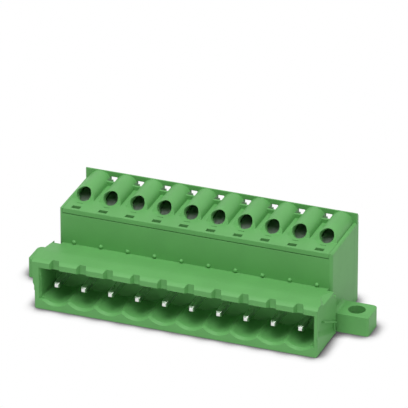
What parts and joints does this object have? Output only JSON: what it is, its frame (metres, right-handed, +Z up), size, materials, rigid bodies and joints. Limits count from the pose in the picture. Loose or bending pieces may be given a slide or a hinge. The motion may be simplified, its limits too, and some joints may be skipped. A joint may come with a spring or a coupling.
{
  "type": "pluggable terminal block",
  "caption": "Pluggable terminal block: an open pin header in front, a row of spring clamps under half-round domes behind it, and a screw-down foot at each end.",
  "frame": {"origin": "middle of the overall footprint, on the base plane", "axes": "+X along the row of poles, +Y from the mating face to the wire side, +Z up from the base"},
  "size_m": [0.0644, 0.0252, 0.0173],
  "materials": {
    "green_housing": "satin moulded",
    "green_cover": "satin moulded",
    "tinned_contact": "bright tin plating",
    "spring_steel": "rolled strip"
  },
  "bodies": {
    "block": {"housing": "green_housing", "cover": "green_cover", "contact_1": "tinned_contact", "contact_2": "tinned_contact", "contact_3": "tinned_contact", "contact_4": "tinned_contact", "contact_5": "tinned_contact", "contact_6": "tinned_contact", "contact_7": "tinned_contact", "contact_8": "tinned_contact", "contact_9": "tinned_contact", "contact_10": "tinned_contact"},
    "clamp_1": {"spring_1": "spring_steel"},
    "clamp_2": {"spring_2": "spring_steel"},
    "clamp_3": {"spring_3": "spring_steel"},
    "clamp_4": {"spring_4": "spring_steel"},
    "clamp_5": {"spring_5": "spring_steel"},
    "clamp_6": {"spring_6": "spring_steel"},
    "clamp_7": {"spring_7": "spring_steel"},
    "clamp_8": {"spring_8": "spring_steel"},
    "clamp_9": {"spring_9": "spring_steel"},
    "clamp_10": {"spring_10": "spring_steel"}
  },
  "joints": [
    {"name": "clamp_open_1", "type": "hinge", "parent": "block", "child": "clamp_1", "pos_m": [-0.02286, 0.0006, 0.01363], "axis": [-1, 0, 0], "range_deg": [0, 16], "stiffness_Nm_per_rad": 0.4},
    {"name": "clamp_open_2", "type": "hinge", "parent": "block", "child": "clamp_2", "pos_m": [-0.01778, 0.0006, 0.01363], "axis": [-1, 0, 0], "range_deg": [0, 16], "stiffness_Nm_per_rad": 0.4},
    {"name": "clamp_open_3", "type": "hinge", "parent": "block", "child": "clamp_3", "pos_m": [-0.0127, 0.0006, 0.01363], "axis": [-1, 0, 0], "range_deg": [0, 16], "stiffness_Nm_per_rad": 0.4},
    {"name": "clamp_open_4", "type": "hinge", "parent": "block", "child": "clamp_4", "pos_m": [-0.00762, 0.0006, 0.01363], "axis": [-1, 0, 0], "range_deg": [0, 16], "stiffness_Nm_per_rad": 0.4},
    {"name": "clamp_open_5", "type": "hinge", "parent": "block", "child": "clamp_5", "pos_m": [-0.00254, 0.0006, 0.01363], "axis": [-1, 0, 0], "range_deg": [0, 16], "stiffness_Nm_per_rad": 0.4},
    {"name": "clamp_open_6", "type": "hinge", "parent": "block", "child": "clamp_6", "pos_m": [0.00254, 0.0006, 0.01363], "axis": [-1, 0, 0], "range_deg": [0, 16], "stiffness_Nm_per_rad": 0.4},
    {"name": "clamp_open_7", "type": "hinge", "parent": "block", "child": "clamp_7", "pos_m": [0.00762, 0.0006, 0.01363], "axis": [-1, 0, 0], "range_deg": [0, 16], "stiffness_Nm_per_rad": 0.4},
    {"name": "clamp_open_8", "type": "hinge", "parent": "block", "child": "clamp_8", "pos_m": [0.0127, 0.0006, 0.01363], "axis": [-1, 0, 0], "range_deg": [0, 16], "stiffness_Nm_per_rad": 0.4},
    {"name": "clamp_open_9", "type": "hinge", "parent": "block", "child": "clamp_9", "pos_m": [0.01778, 0.0006, 0.01363], "axis": [-1, 0, 0], "range_deg": [0, 16], "stiffness_Nm_per_rad": 0.4},
    {"name": "clamp_open_10", "type": "hinge", "parent": "block", "child": "clamp_10", "pos_m": [0.02286, 0.0006, 0.01363], "axis": [-1, 0, 0], "range_deg": [0, 16], "stiffness_Nm_per_rad": 0.4}
  ]
}
